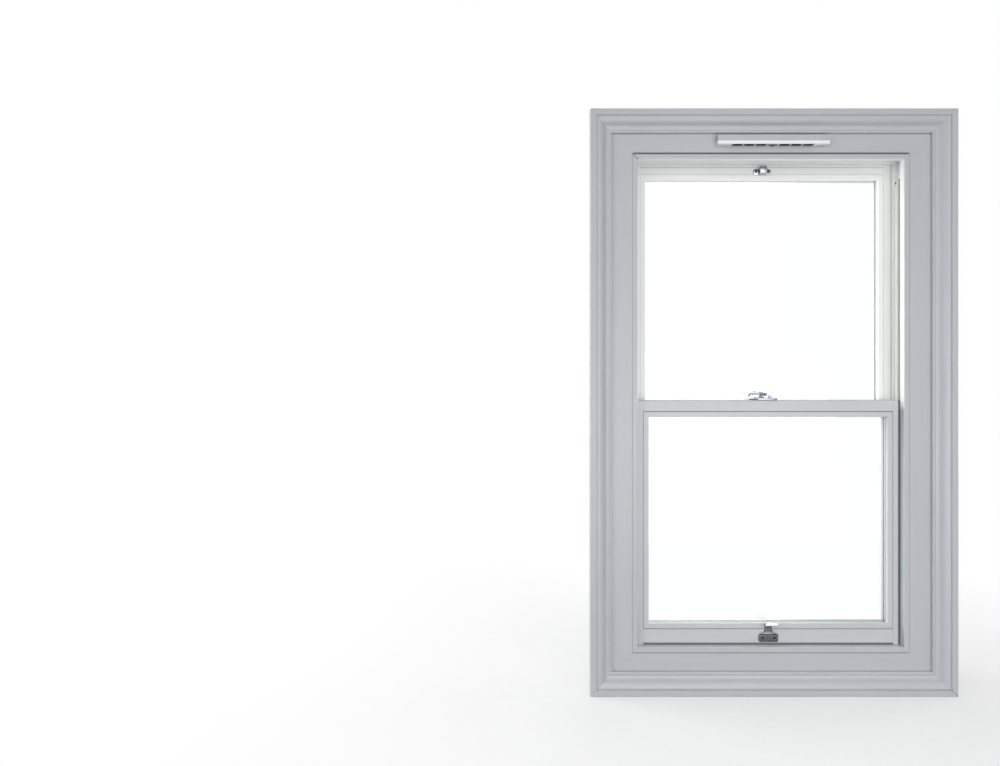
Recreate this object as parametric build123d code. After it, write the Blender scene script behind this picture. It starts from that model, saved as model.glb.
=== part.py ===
from build123d import *
import math
import os

os.makedirs("parts", exist_ok=True)

# Double-hung timber sash window in millimetres, +Z up, seen from the room along +Y.
# The origin is the centre of the sill's underside.

# Opening between the jambs and between sill and head
clear_width = 710.0
clear_height = 1279.0
sill_thickness = 70.0
sill_depth = 155.0
sill_step = 6.0
sill_fall = 20.0
drip_radius = 4.0
drip_inset = 10.0
jamb_thickness = 57.0
head_thickness = 70.0

# Linings, staff beads and architrave on the room side
lining_thickness = 20.0
lining_visible = 54.0
lining_head_visible = 50.0
lining_foot_visible = 46.0
lining_lap = 6.0
staff_bead_width = 14.0
staff_bead_ease = 1.5
architrave_width = 56.5
architrave_thickness = 25.0
architrave_inner_thickness = 8.0
architrave_fillet_width = 16.5
architrave_bead_width = 7.0
architrave_hollow_width = 13.0
architrave_quirk = 1.2
architrave_lip = 1.0

# Sash tracks
track_gap = 1.0
sash_thickness = 38.0
sash_side_gap = 2.0
seat_gap = 0.3
parting_bead_width = 8.0
parting_bead_projection = 10.0
parting_bead_groove = 5.0
outer_stop_depth = 20.0
outer_stop_projection = 12.0

# Sash members
stile_width = 30.0
meeting_rail_rise = 6.5
meeting_rail_height = 29.0
bottom_rail_height = 54.5
top_rail_height = 35.0
rail_ease = 3.0
tenon_length = 12.0
tenon_thickness = 12.0
tenon_shoulder = 6.0
meeting_bevel_gap = 1.4
meeting_end_gap = 1.5
horn_length = 85.0
horn_neck = 26.0

# Glazing
glazing_bead_width = 14.0
glazing_bead_depth = 11.0
glazing_bead_ease = 1.5
shadow_gap = 0.4
bead_run_past = 60.0
pane_thickness = 4.0
pane_cavity = 8.0
pane_edge_gap = 2.0
spacer_height = 6.0
spacer_inset = 5.5
setting_block_length = 60.0
setting_block_inset = 90.0

# Spiral balances
tube_radius = 7.0
tube_wall = 1.4
tube_jamb_gap = 1.5
tube_plug_length = 20.0
tube_end_gap = 5.0
groove_width = 17.0
groove_depth = 16.0
lower_tube_drop = 56.0
upper_tube_drop = 16.0
rod_width = 5.0
rod_thickness = 1.4
rod_lead = 140.0
rod_twist_step = 60.0
rod_head_room = 70.0
rod_engagement = 20.0
rod_root = 2.0
rod_foot_height = 20.0
rod_foot_width = 14.0
rod_foot_depth = 13.0
rod_foot_inset = 4.0
bush_flange = 3.0
bush_spigot = 3.0
bush_gap = 0.3
bush_slot_width = 2.2
bush_slot_length = 5.6
lower_stop_clearance = 14.0
horn_clearance = 9.0

# Trickle vent
vent_length = 283.0
vent_height = 24.0
vent_depth = 22.0
vent_wall = 1.8
vent_drop = 8.0
vent_slots = 7
vent_slot_length = 26.0
vent_slot_pitch = 30.0
vent_slot_depth = 9.0
vent_ease = 2.0
vent_port_length = 30.0
vent_port_pitch = 38.0
vent_port_height = 9.0
vent_ports = 6
shutter_thickness = 1.4
shutter_gap = 0.4
shutter_window = 13.0
tab_length = 9.0
tab_width = 5.0
tab_drop = 4.0
canopy_length = 290.0
canopy_height = 30.0
canopy_depth = 20.0

# Meeting rail fastener
fastener_length = 60.0
fastener_width = 20.0
fastener_thickness = 6.0
fastener_screw_spacing = 44.0
boss_radius = 6.5
boss_top_radius = 4.5
boss_height = 8.0
pivot_radius = 3.0
pivot_gap = 0.05
pivot_offset = 11.0
lever_length = 35.0
lever_tail = 15.0
lever_tail_drop = 3.0
lever_width = 9.0
lever_thickness = 4.5
lever_gap = 0.5
lever_tip_drop = 6.0
lever_tip_length = 5.0
stop_offset = 11.0
stop_width = 8.0
stop_height = 7.0
cap_height = 2.0
keeper_depth = 7.0
keeper_side = 8.0
keeper_lip = 3.0
keeper_clearance = 1.5
keeper_foot_length = 44.0
keeper_foot_thickness = 3.0
keeper_screw_spacing = 32.0
keeper_wall = 5.0
keeper_setback = 0.5

# Hook lift and sash pull
lift_plate_width = 50.0
lift_plate_height = 21.0
lift_plate_thickness = 3.0
lift_neck_width = 17.0
lift_neck_height = 28.0
lift_reach = 28.0
lift_corner = 4.0
lift_centre_height = 32.0
lift_screw_spacing = 30.0
lift_curl_radius = 8.0
pull_plate_width = 48.0
pull_plate_height = 17.0
pull_plate_thickness = 2.5
pull_tongue_width = 18.0
pull_reach = 15.0
pull_rise = 20.0
pull_centre_drop = 29.0
pull_screw_spacing = 32.0

# Screws
small_screw_radius = 1.6
small_screw_head = 3.2
small_screw_length = 18.0
screw_fit = 0.05
fixing_hole_radius = 4.0
fixing_low = 330.0
fixing_high = 1130.0

# Planes worked out from the sizes above
sill_back = -sill_depth / 2
lining_face = sill_back - lining_thickness
half_clear = clear_width / 2
sill_top = sill_thickness
soffit = sill_top + clear_height
lower_front = sill_back + track_gap
lower_back = lower_front + sash_thickness
parting_front = lower_back + track_gap
parting_back = parting_front + parting_bead_width
upper_front = parting_back + track_gap
upper_back = upper_front + sash_thickness
stop_front = upper_back + track_gap
frame_back = stop_front + outer_stop_depth
half_frame = half_clear + jamb_thickness
head_top = soffit + head_thickness
half_sash = half_clear - sash_side_gap
half_rail = half_sash - stile_width
half_sight = half_rail - glazing_bead_width
half_parting = half_clear - parting_bead_projection
tube_x = half_clear - tube_jamb_gap - tube_radius
lower_tube_top = soffit - lower_tube_drop
upper_tube_top = soffit - upper_tube_drop

# Sash heights: the meeting rails stand at mid-height, and each sash slides until it nears its stop
meeting_rail_top = sill_top + clear_height / 2 + meeting_rail_rise
lower_bottom = sill_top + seat_gap
upper_top = soffit - seat_gap
meeting_low = meeting_rail_top - meeting_rail_height
meeting_foot = meeting_low - glazing_bead_width
lower_main_low = lower_bottom + bottom_rail_height
lower_sight_low = lower_main_low + glazing_bead_width
upper_main_high = upper_top - top_rail_height
lip_inset = glazing_bead_depth + 2 * pane_thickness + pane_cavity
horn_bottom = meeting_foot - horn_length
lower_travel = lower_tube_top - lower_stop_clearance - meeting_rail_top
upper_travel = horn_bottom - horn_clearance - (sill_top - sill_step)

# Balance heights with the sashes closed: each tube's mouth stands clear of the rod's foot at full travel
lower_foot_top = lower_bottom + rod_foot_inset + rod_foot_height
upper_foot_top = meeting_foot + rod_foot_inset + rod_foot_height
mouth_clearance = bush_gap + bush_flange + tube_end_gap
lower_tube_bottom = lower_foot_top + lower_travel + mouth_clearance
upper_tube_bottom = upper_foot_top + mouth_clearance


def box(x0, x1, y0, y1, z0, z1):
    """Box between two corners."""
    size = Box(abs(x1 - x0), abs(y1 - y0), abs(z1 - z0))
    return Pos((x0 + x1) / 2, (y0 + y1) / 2, (z0 + z1) / 2) * size


def prism_x(points, x0, x1):
    """Outline of (y, z) points extruded from x0 to x1."""
    outline = Plane.YZ.offset(x0) * make_face(Polyline(*points, close=True))
    return extrude(outline, x1 - x0, dir=(1, 0, 0))


def prism_y(points, y0, y1):
    """Outline of (x, z) points extruded from y0 to y1."""
    face = make_face(Polyline(*[(x, y0, z) for x, z in points], close=True))
    return extrude(face, y1 - y0, dir=(0, 1, 0))


def prism_z(points, z0, z1):
    """Outline of (x, y) points extruded from z0 to z1."""
    face = make_face(Polyline(*[(x, y, z0) for x, y in points], close=True))
    return extrude(face, z1 - z0, dir=(0, 0, 1))


def upright_rod(radius, x, y, z0, z1):
    """Round rod from z0 to z1."""
    return Pos(x, y, (z0 + z1) / 2) * Cylinder(radius, z1 - z0)


def edges_along(shape, axis, **limits):
    """Straight edges along an axis whose centre has the given x, y or z."""
    chosen = shape.edges().filter_by(axis)
    for name, value in limits.items():
        chosen = chosen.filter_by(lambda e: abs(getattr(e.center(), name.upper()) - value) < 0.01)
    return chosen


def save(name, *solids):
    """Write one node, as one solid or a group of separate ones."""
    shapes = [s for item in solids for s in item.solids()]
    whole = shapes[0] if len(shapes) == 1 else Compound(children=shapes)
    export_step(whole, f"parts/{name}.step")


def mitred_length(section, side, half_width, z_low, z_high, back, reach):
    """One mitred length of a four-sided frame of moulding.

    The section has its first axis outwards from the frame's inner edge and its second towards the room.
    """
    z_mid = (z_low + z_high) / 2
    half_height = (z_high - z_low) / 2
    if side in ("left", "right"):
        seat = Plane((half_width, back, z_mid), x_dir=(1, 0, 0), z_dir=(0, 0, -1))
        run = half_height + reach
        wedge = [
            (half_width, z_low),
            (half_width, z_high),
            (half_width + reach, z_high + reach),
            (half_width + reach, z_low - reach),
        ]
    else:
        seat = Plane((0, back, z_high), x_dir=(0, 0, 1), z_dir=(1, 0, 0))
        run = half_width + reach
        wedge = [
            (-half_width, z_high),
            (half_width, z_high),
            (half_width + reach, z_high + reach),
            (-half_width - reach, z_high + reach),
        ]
    length = extrude(seat * section, run, both=True)
    length = length & prism_y(wedge, back - 2 * reach, back + 2 * reach)
    if side == "left":
        length = mirror(length, Plane.YZ)
    if side == "bottom":
        length = mirror(length, Plane.XY.offset(z_mid))
    return length


def architrave_section():
    """Outer fillet, ogee, hollow and small bead of the architrave."""
    bead = architrave_bead_width
    hollow_end = bead + architrave_hollow_width
    fillet_start = architrave_width - architrave_fillet_width
    base = architrave_inner_thickness
    crest = architrave_thickness - architrave_quirk
    knee = base + (crest - base) * 0.35
    bead_mid = (bead / 2, base + bead * 0.28)
    hollow_mid = ((bead + hollow_end) / 2 + 1.0, base + (knee - base) * 0.18)
    ogee_mid = (hollow_end + (fillet_start - hollow_end) * 0.38, knee + (crest - knee) * 0.72)
    lip = architrave_lip
    edges = [
        Line((0, 0), (0, base)),
        ThreePointArc((0, base), bead_mid, (bead, base)),
        ThreePointArc((bead, base), hollow_mid, (hollow_end, knee)),
        ThreePointArc((hollow_end, knee), ogee_mid, (fillet_start - lip, crest)),
        Line((fillet_start - lip, crest), (fillet_start, crest - lip)),
        Line((fillet_start, crest - lip), (fillet_start, architrave_thickness)),
        Line((fillet_start, architrave_thickness), (architrave_width - lip, architrave_thickness)),
        Line((architrave_width - lip, architrave_thickness), (architrave_width, architrave_thickness - lip)),
        Line((architrave_width, architrave_thickness - lip), (architrave_width, 0)),
        Line((architrave_width, 0), (0, 0)),
    ]
    return make_face(Wire(edges))


def eased_section(width, depth, ease):
    """Rectangular section with its inner room-side arris rounded."""
    edges = [
        Line((0, 0), (0, depth - ease)),
        ThreePointArc(
            (0, depth - ease),
            (ease * (1 - math.cos(math.pi / 4)), depth - ease * (1 - math.sin(math.pi / 4))),
            (ease, depth),
        ),
        Line((ease, depth), (width, depth)),
        Line((width, depth), (width, 0)),
        Line((width, 0), (0, 0)),
    ]
    return make_face(Wire(edges))


def screw(head_radius, shank_radius, length):
    """Countersunk screw, its head's face at z = 0 and its shank downwards."""
    cone = head_radius - shank_radius
    profile = Polyline((0, 0), (head_radius, 0), (shank_radius, -cone), (shank_radius, -length), (0, -length), close=True)
    return revolve(Plane.XZ * make_face(profile), Axis.Z)


def screw_hole(head_radius, shank_radius, length):
    """Countersunk hole that a screw of the same sizes sits in with a small clearance."""
    shank = shank_radius + screw_fit
    head = head_radius + screw_fit
    profile = Polyline(
        (0, 5.0),
        (head, 5.0),
        (head, 0),
        (shank, -(head - shank)),
        (shank, -length - screw_fit),
        (0, -length - screw_fit),
        close=True,
    )
    return revolve(Plane.XZ * make_face(profile), Axis.Z)


small_screw = screw(small_screw_head, small_screw_radius, small_screw_length)
small_hole = screw_hole(small_screw_head, small_screw_radius, small_screw_length)

# Sill: flat under the lower sash and parting beads, then weathered out to a nosing
slope_start = upper_front
nosing_face = sill_depth / 2
sill_outline = [
    (sill_back, 0),
    (nosing_face, 0),
    (nosing_face, sill_top - sill_step - sill_fall),
    (slope_start, sill_top - sill_step),
    (slope_start, sill_top),
    (sill_back, sill_top),
]
sill = prism_x(sill_outline, -half_frame, half_frame)
drip = Pos(0, nosing_face - drip_inset, 0) * Rot(0, 90, 0) * Cylinder(drip_radius, 3 * half_frame)
save("sill", sill - drip)

# Jambs: solid section with the outer stop worked on it, a groove for the parting bead and fixing holes
groove_bottom = half_clear + parting_bead_groove
jamb_outline = [
    (half_clear, sill_back),
    (half_frame, sill_back),
    (half_frame, frame_back),
    (half_clear - outer_stop_projection, frame_back),
    (half_clear - outer_stop_projection, stop_front),
    (half_clear, stop_front),
    (half_clear, parting_back),
    (groove_bottom, parting_back),
    (groove_bottom, parting_front),
    (half_clear, parting_front),
]
lower_mid = (lower_front + lower_back) / 2
upper_mid = (upper_front + upper_back) / 2
jamb = prism_z(jamb_outline, sill_top - sill_step - sill_fall, soffit) - sill
for hole_z in (fixing_low, fixing_high):
    jamb -= Pos(half_frame, lower_mid, hole_z) * Rot(0, 90, 0) * Cylinder(fixing_hole_radius, 3 * jamb_thickness)


def balance_screw_places():
    """Place of each tube's top screw: x, y, z and the turn that points its head at the window's centre."""
    places = []
    for side in (-1, 1):
        head_x = side * (tube_x - tube_radius)
        for tube_top, track_y in ((lower_tube_top, lower_mid), (upper_tube_top, upper_mid)):
            places.append(Pos(head_x, track_y, tube_top - tube_plug_length / 2) * Rot(0, -90 * side, 0))
    return places


balance_screw_length = 2 * tube_radius + tube_jamb_gap + 16.0
balance_screw = screw(small_screw_head, small_screw_radius, balance_screw_length)
balance_hole = screw_hole(small_screw_head, small_screw_radius, balance_screw_length)
jamb_left = mirror(jamb, Plane.YZ)
for place in balance_screw_places():
    jamb -= place * balance_hole
    jamb_left -= place * balance_hole
save("jamb_right", jamb)
save("jamb_left", jamb_left)

# Head: carries its own outer stop and the routed ports behind the vent
head_outline = [
    (sill_back, soffit),
    (parting_front, soffit),
    (parting_front, soffit + parting_bead_groove),
    (parting_back, soffit + parting_bead_groove),
    (parting_back, soffit),
    (stop_front, soffit),
    (frame_back, soffit),
    (frame_back, head_top),
    (sill_back, head_top),
]
head = prism_x(head_outline, -half_frame, half_frame)
head_stop_half = half_clear - outer_stop_projection
head += box(-head_stop_half, head_stop_half, stop_front, frame_back, soffit - outer_stop_projection, soffit)
lining_top_edge = soffit + lining_head_visible
vent_top = lining_top_edge - vent_drop
vent_bottom = vent_top - vent_height
port_z = (vent_top + vent_bottom) / 2
ports = [
    box(
        (i - (vent_ports - 1) / 2) * vent_port_pitch - vent_port_length / 2,
        (i - (vent_ports - 1) / 2) * vent_port_pitch + vent_port_length / 2,
        lining_face - 1,
        frame_back + 1,
        port_z - vent_port_height / 2,
        port_z + vent_port_height / 2,
    )
    for i in range(vent_ports)
]
for port in ports:
    head -= port
save("head", head)

# Linings: flat boards flush with the staff beads, lapped by the architrave
lining_outer = half_clear + lining_visible + lining_lap
lining_low = sill_top - lining_foot_visible - lining_lap
lining_high = soffit + lining_head_visible + lining_lap
lining_top = box(-lining_outer, lining_outer, lining_face, sill_back, soffit, lining_high)
for port in ports:
    lining_top -= port
save("lining_top", lining_top)
save("lining_bottom", box(-lining_outer, lining_outer, lining_face, sill_back, lining_low, sill_top))
lining_right = box(half_clear, lining_outer, lining_face, sill_back, sill_top, soffit)
save("lining_right", lining_right)
save("lining_left", mirror(lining_right, Plane.YZ))

# Architrave, staff beads
architrave_inner = half_clear + lining_visible
for side in ("top", "bottom", "left", "right"):
    architrave = mitred_length(
        architrave_section(),
        side,
        architrave_inner,
        sill_top - lining_foot_visible,
        soffit + lining_head_visible,
        lining_face,
        architrave_width + 4.0,
    )
    save(f"architrave_{side}", architrave)
    staff_bead = mitred_length(
        eased_section(staff_bead_width, lining_thickness, staff_bead_ease),
        side,
        half_clear - staff_bead_width,
        sill_top + staff_bead_width,
        soffit - staff_bead_width,
        sill_back,
        staff_bead_width + 8.0,
    )
    wall_side = box(-half_clear, half_clear, lining_face - 1, sill_back, sill_top, soffit)
    save(f"staff_bead_{side}", staff_bead & wall_side)

# Parting beads
parting_right = box(half_parting, groove_bottom, parting_front, parting_back, sill_top, soffit)
save("parting_bead_right", parting_right)
save("parting_bead_left", mirror(parting_right, Plane.YZ))
parting_low = soffit - parting_bead_projection
parting_top = box(-half_parting, half_parting, parting_front, parting_back, parting_low, soffit)
parting_top += box(-half_clear, half_clear, parting_front, parting_back, soffit, soffit + parting_bead_groove)
save("parting_bead_top", parting_top)


def groove_cut(front, z0, z1):
    """Groove in a stile's outer edge for the balance tube."""
    mid = front + sash_thickness / 2
    return box(half_sash - groove_depth, half_sash + 1, mid - groove_width / 2, mid + groove_width / 2, z0, z1)


def tenon(front, side, z0, z1):
    """Blind tenon on a rail's end."""
    mid = front + sash_thickness / 2
    inner = side * (half_rail - 1)
    outer = side * (half_rail + tenon_length)
    half = tenon_thickness / 2
    return box(inner, outer, mid - half, mid + half, z0 + tenon_shoulder, z1 - tenon_shoulder)


def sash_rail(front, z0, z1):
    """Rail between the stiles with a tenon at each end."""
    rail = box(-half_rail, half_rail, front, front + sash_thickness, z0, z1)
    for side in (-1, 1):
        rail += tenon(front, side, z0, z1)
    return rail


def rail_lip(front, z0, z1):
    """Outer lip of a rail that the glass beds against."""
    return box(-half_sight, half_sight, front + lip_inset, front + sash_thickness, z0, z1)


def sash_stile(front, z0, z1, lip_low, lip_high, tenons):
    """Right-hand stile with its glazing lip and mortises."""
    stile = box(half_rail, half_sash, front, front + sash_thickness, z0, z1)
    stile += box(half_sight, half_rail, front + lip_inset, front + sash_thickness, lip_low, lip_high)
    for low, high in tenons:
        mid = front + sash_thickness / 2
        half = tenon_thickness / 2
        low_face = low + tenon_shoulder
        high_face = high - tenon_shoulder
        stile -= box(half_rail - 1, half_rail + tenon_length, mid - half, mid + half, low_face, high_face)
    return stile


# Lower sash
lower_stile = sash_stile(
    lower_front,
    lower_bottom,
    meeting_rail_top,
    lower_main_low,
    meeting_low,
    [(lower_bottom, lower_main_low), (meeting_low, meeting_rail_top)],
)
lower_stile = fillet(edges_along(lower_stile, Axis.X, y=lower_front, z=meeting_rail_top), rail_ease)
lower_stile -= groove_cut(lower_front, lower_bottom - 1, meeting_rail_top + 1)
save("lower_stile_right", lower_stile)
save("lower_stile_left", mirror(lower_stile, Plane.YZ))

lift_plate_z = lower_bottom + lift_centre_height
lift_screw_places = [
    Pos(side * lift_screw_spacing / 2, lower_front - lift_plate_thickness, lift_plate_z) * Rot(90, 0, 0)
    for side in (-1, 1)
]
bottom_rail = sash_rail(lower_front, lower_bottom, lower_main_low)
bottom_rail += rail_lip(lower_front, lower_main_low, lower_sight_low)
for place in lift_screw_places:
    bottom_rail -= place * small_hole
save("lower_bottom_rail", bottom_rail)

lever_x = -pivot_offset
lever_y = lower_mid
fastener_top = meeting_rail_top + fastener_thickness
fastener_screw_places = [
    Pos(side * fastener_screw_spacing / 2, lever_y, fastener_top) for side in (-1, 1)
]
bevel_depth = upper_front - lower_back
half_meeting = half_parting - meeting_end_gap
lower_meeting = sash_rail(lower_front, meeting_low, meeting_rail_top)
lower_meeting = fillet(edges_along(lower_meeting, Axis.X, y=lower_front, z=meeting_rail_top), rail_ease)
lower_meeting += rail_lip(lower_front, meeting_foot, meeting_low)
lower_bevel = [
    (lower_back, meeting_foot + 4.0),
    (lower_back, meeting_rail_top),
    (upper_front - meeting_bevel_gap, meeting_rail_top),
]
lower_meeting += prism_x(lower_bevel, -half_meeting, half_meeting)
for place in fastener_screw_places:
    lower_meeting -= place * small_hole
save("lower_meeting_rail", lower_meeting)

# Upper sash: its meeting rail is grooved for the glass, so it has no bead there
upper_stile = sash_stile(
    upper_front,
    meeting_foot,
    upper_top,
    meeting_rail_top,
    upper_main_high,
    [(meeting_foot, meeting_rail_top), (upper_main_high, upper_top)],
)
horn_tip = half_sash - horn_neck
horn_wire = Wire(
    [
        Line((half_rail, 0, meeting_foot), (half_sash, 0, meeting_foot)),
        Line((half_sash, 0, meeting_foot), (half_sash, 0, horn_bottom)),
        Line((half_sash, 0, horn_bottom), (horn_tip, 0, horn_bottom)),
        ThreePointArc(
            (horn_tip, 0, horn_bottom),
            (half_rail + 3.0, 0, horn_bottom + horn_length * 0.18),
            (half_rail + 5.0, 0, horn_bottom + horn_length * 0.45),
        ),
        ThreePointArc(
            (half_rail + 5.0, 0, horn_bottom + horn_length * 0.45),
            (half_rail + 6.5, 0, horn_bottom + horn_length * 0.72),
            (half_rail, 0, meeting_foot),
        ),
    ]
)
horn = Pos(0, upper_front, 0) * extrude(make_face(horn_wire), sash_thickness, dir=(0, 1, 0))
upper_stile += horn
upper_stile -= groove_cut(upper_front, meeting_foot, upper_top + 1)
save("upper_stile_right", upper_stile)
save("upper_stile_left", mirror(upper_stile, Plane.YZ))

pull_z = upper_top - pull_centre_drop
pull_screw_places = [
    Pos(side * pull_screw_spacing / 2, upper_front - pull_plate_thickness, pull_z) * Rot(90, 0, 0)
    for side in (-1, 1)
]
top_rail = sash_rail(upper_front, upper_main_high, upper_top)
top_rail += rail_lip(upper_front, upper_main_high - glazing_bead_width, upper_main_high)
for place in pull_screw_places:
    top_rail -= place * small_hole
save("upper_top_rail", top_rail)

keeper_y = upper_front + keeper_setback + keeper_depth / 2
keeper_top = meeting_rail_top + keeper_foot_thickness
keeper_left = lever_x - keeper_side
keeper_right = lever_x + lever_width / 2 + keeper_clearance + keeper_wall
keeper_x = (keeper_left + keeper_right) / 2
keeper_screw_places = [
    Pos(keeper_x + side * keeper_screw_spacing / 2, keeper_y, keeper_top) for side in (-1, 1)
]
glass_front = upper_front + glazing_bead_depth
glass_back = glass_front + 2 * pane_thickness + pane_cavity
upper_glass_low = meeting_rail_top - glazing_bead_width + pane_edge_gap
upper_meeting = sash_rail(upper_front, meeting_foot, meeting_rail_top)
upper_groove_low = meeting_rail_top - glazing_bead_width
upper_meeting -= box(-half_rail, half_rail, glass_front, glass_back, upper_groove_low, meeting_rail_top)
upper_bevel = [
    (lower_back + track_gap, meeting_foot),
    (upper_front, meeting_foot),
    (upper_front, meeting_rail_top),
]
upper_meeting += prism_x(upper_bevel, -half_meeting, half_meeting)
for place in keeper_screw_places:
    upper_meeting -= place * small_hole
save("upper_meeting_rail", upper_meeting)


def glazing_beads(prefix, front, z_low, z_high, sides):
    """Mitred glazing beads round a pane, each a hair short of its stile or rail."""
    back = front + glazing_bead_depth
    section = eased_section(glazing_bead_width - shadow_gap, glazing_bead_depth, glazing_bead_ease)
    inside = box(-half_rail, half_rail, front, back, z_low, z_high + glazing_bead_width)
    for bead_side in sides:
        bead = mitred_length(
            section,
            bead_side,
            half_sight,
            z_low + (glazing_bead_width if "bottom" in sides else -bead_run_past),
            z_high,
            back,
            glazing_bead_width + 6.0,
        )
        save(f"{prefix}_glazing_bead_{bead_side}", bead & inside)


glazing_beads(
    "lower",
    lower_front,
    lower_main_low,
    meeting_foot,
    ("top", "bottom", "left", "right"),
)
glazing_beads(
    "upper",
    upper_front,
    meeting_rail_top,
    upper_main_high - glazing_bead_width,
    ("top", "left", "right"),
)


def glazed_unit(prefix, front, z_low, z_high):
    """Two panes held apart by spacer bars, on two setting blocks."""
    half_glass = half_rail - pane_edge_gap
    inner_face = front + glazing_bead_depth
    cavity_front = inner_face + pane_thickness
    cavity_back = cavity_front + pane_cavity
    low = z_low + pane_edge_gap
    high = z_high - pane_edge_gap
    save(f"{prefix}_pane_inner", box(-half_glass, half_glass, inner_face, cavity_front, low, high))
    outer_face = cavity_back + pane_thickness
    save(f"{prefix}_pane_outer", box(-half_glass, half_glass, cavity_back, outer_face, low, high))
    left = -half_glass + spacer_inset
    right = half_glass - spacer_inset
    bottom = low + spacer_inset
    top = high - spacer_inset
    save(
        f"{prefix}_spacer_bars",
        box(left, right, cavity_front, cavity_back, bottom, bottom + spacer_height),
        box(left, right, cavity_front, cavity_back, top - spacer_height, top),
        box(left, left + spacer_height, cavity_front, cavity_back, bottom + spacer_height, top - spacer_height),
        box(right - spacer_height, right, cavity_front, cavity_back, bottom + spacer_height, top - spacer_height),
    )
    blocks = []
    for side in (-1, 1):
        near = side * (half_rail - setting_block_inset)
        far = near - side * setting_block_length
        blocks.append(box(near, far, inner_face, outer_face, z_low, low))
    save(f"{prefix}_setting_blocks", *blocks)


glazed_unit("lower", lower_front, lower_main_low, meeting_low)
glazed_unit("upper", upper_front, upper_groove_low, upper_main_high)


# Spiral balances: tube fixed to the jamb, rod fixed to the sash, bush turning at the tube's mouth
def balance_tube(side, track_y, bottom, tube_top):
    """Tube closed by a plug at its top, with a pad that stands it off the jamb."""
    x = side * tube_x
    tube = upright_rod(tube_radius, x, track_y, bottom, tube_top)
    tube -= upright_rod(tube_radius - tube_wall, x, track_y, bottom - 1, tube_top - tube_plug_length)
    pad_half = tube_radius * 0.5
    pad = box(x, side * half_clear, track_y - pad_half, track_y + pad_half, tube_top - tube_plug_length, tube_top)
    return tube + pad


tubes = []
for side in (-1, 1):
    tubes.append(balance_tube(side, lower_mid, lower_tube_bottom, lower_tube_top))
    tubes.append(balance_tube(side, upper_mid, upper_tube_bottom, upper_tube_top))
drilled = []
for tube in tubes:
    for place in balance_screw_places():
        tube = tube - place * balance_hole
    drilled.append(tube)
save("balance_tubes", *drilled)
save("balance_screws", *[place * balance_screw for place in balance_screw_places()])


def balance_rod(side, track_y, foot_top, rod_top):
    """Twisted strip, built up in short even turns, with its foot, which stands in the stile's groove."""
    foot_low = foot_top - rod_foot_height
    length = rod_top - foot_top + rod_root
    turn = length / rod_lead * 360.0
    steps = round(turn / rod_twist_step)
    section = Rectangle(rod_thickness, rod_width).face()
    step = Solid.extrude_linear_with_rotation(section, (0, 0, 0), (0, 0, length / steps), turn / steps)
    steps_up = [Pos(0, 0, length * n / steps) * Rot(0, 0, turn * n / steps) * step for n in range(steps)]
    strip = Pos(side * tube_x, track_y, foot_top - rod_root) * steps_up[0].fuse(*steps_up[1:])
    groove_face = side * (half_sash - groove_depth)
    half = rod_foot_width / 2
    foot = box(groove_face, groove_face + side * rod_foot_depth, track_y - half, track_y + half, foot_low, foot_top)
    return foot + strip


def bush_turn(foot_top, bush_z):
    """Angle of the twisted strip at the bush when the sash is closed."""
    return (bush_z - (foot_top - rod_root)) / rod_lead * 360.0


def balance_bush(side, track_y, tube_bottom, foot_top):
    """Nylon bush: slotted flange under the tube's mouth and a spigot inside it."""
    x = side * tube_x
    flange_top = tube_bottom - bush_gap
    flange_low = flange_top - bush_flange
    bore = tube_radius - tube_wall
    bush = upright_rod(tube_radius - bush_gap, x, track_y, flange_low, flange_top)
    bush += upright_rod(bore - bush_gap, x, track_y, flange_top, flange_top + bush_spigot)
    turn = bush_turn(foot_top, (flange_low + flange_top + bush_spigot) / 2)
    slot = Rot(0, 0, turn) * Box(bush_slot_width, bush_slot_length, 4 * (bush_flange + bush_spigot))
    return bush - Pos(x, track_y, flange_low) * slot


lower_rod_top = lower_tube_bottom + rod_engagement
upper_rod_top = upper_tube_top - tube_plug_length - rod_head_room
lower_rods = [balance_rod(side, lower_mid, lower_foot_top, lower_rod_top) for side in (-1, 1)]
upper_rods = [balance_rod(side, upper_mid, upper_foot_top, upper_rod_top) for side in (-1, 1)]
save("lower_balance_rods", *lower_rods)
save("upper_balance_rods", *upper_rods)
for side, side_name in ((-1, "left"), (1, "right")):
    lower_bush = balance_bush(side, lower_mid, lower_tube_bottom, lower_foot_top)
    upper_bush = balance_bush(side, upper_mid, upper_tube_bottom, upper_foot_top)
    save(f"lower_balance_bush_{side_name}", lower_bush)
    save(f"upper_balance_bush_{side_name}", upper_bush)

# Trickle vent: hollow cover open at the back, slots in its underside
half_vent = vent_length / 2
vent_face = lining_face - vent_depth
cover = box(-half_vent, half_vent, vent_face, lining_face, vent_bottom, vent_top)
cover = fillet(edges_along(cover, Axis.X, y=vent_face), vent_ease)
cavity = box(
    -half_vent + vent_wall,
    half_vent - vent_wall,
    vent_face + vent_wall,
    lining_face + 1,
    vent_bottom + vent_wall,
    vent_top - vent_wall,
)
cover -= cavity
slot_mid = (vent_face + lining_face) / 2
for i in range(vent_slots):
    slot_x = (i - (vent_slots - 1) / 2) * vent_slot_pitch
    cover -= box(
        slot_x - vent_slot_length / 2,
        slot_x + vent_slot_length / 2,
        slot_mid - vent_slot_depth / 2,
        slot_mid + vent_slot_depth / 2,
        vent_bottom - 1,
        vent_bottom + vent_wall + 1,
    )
save("vent_cover", cover)

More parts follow.
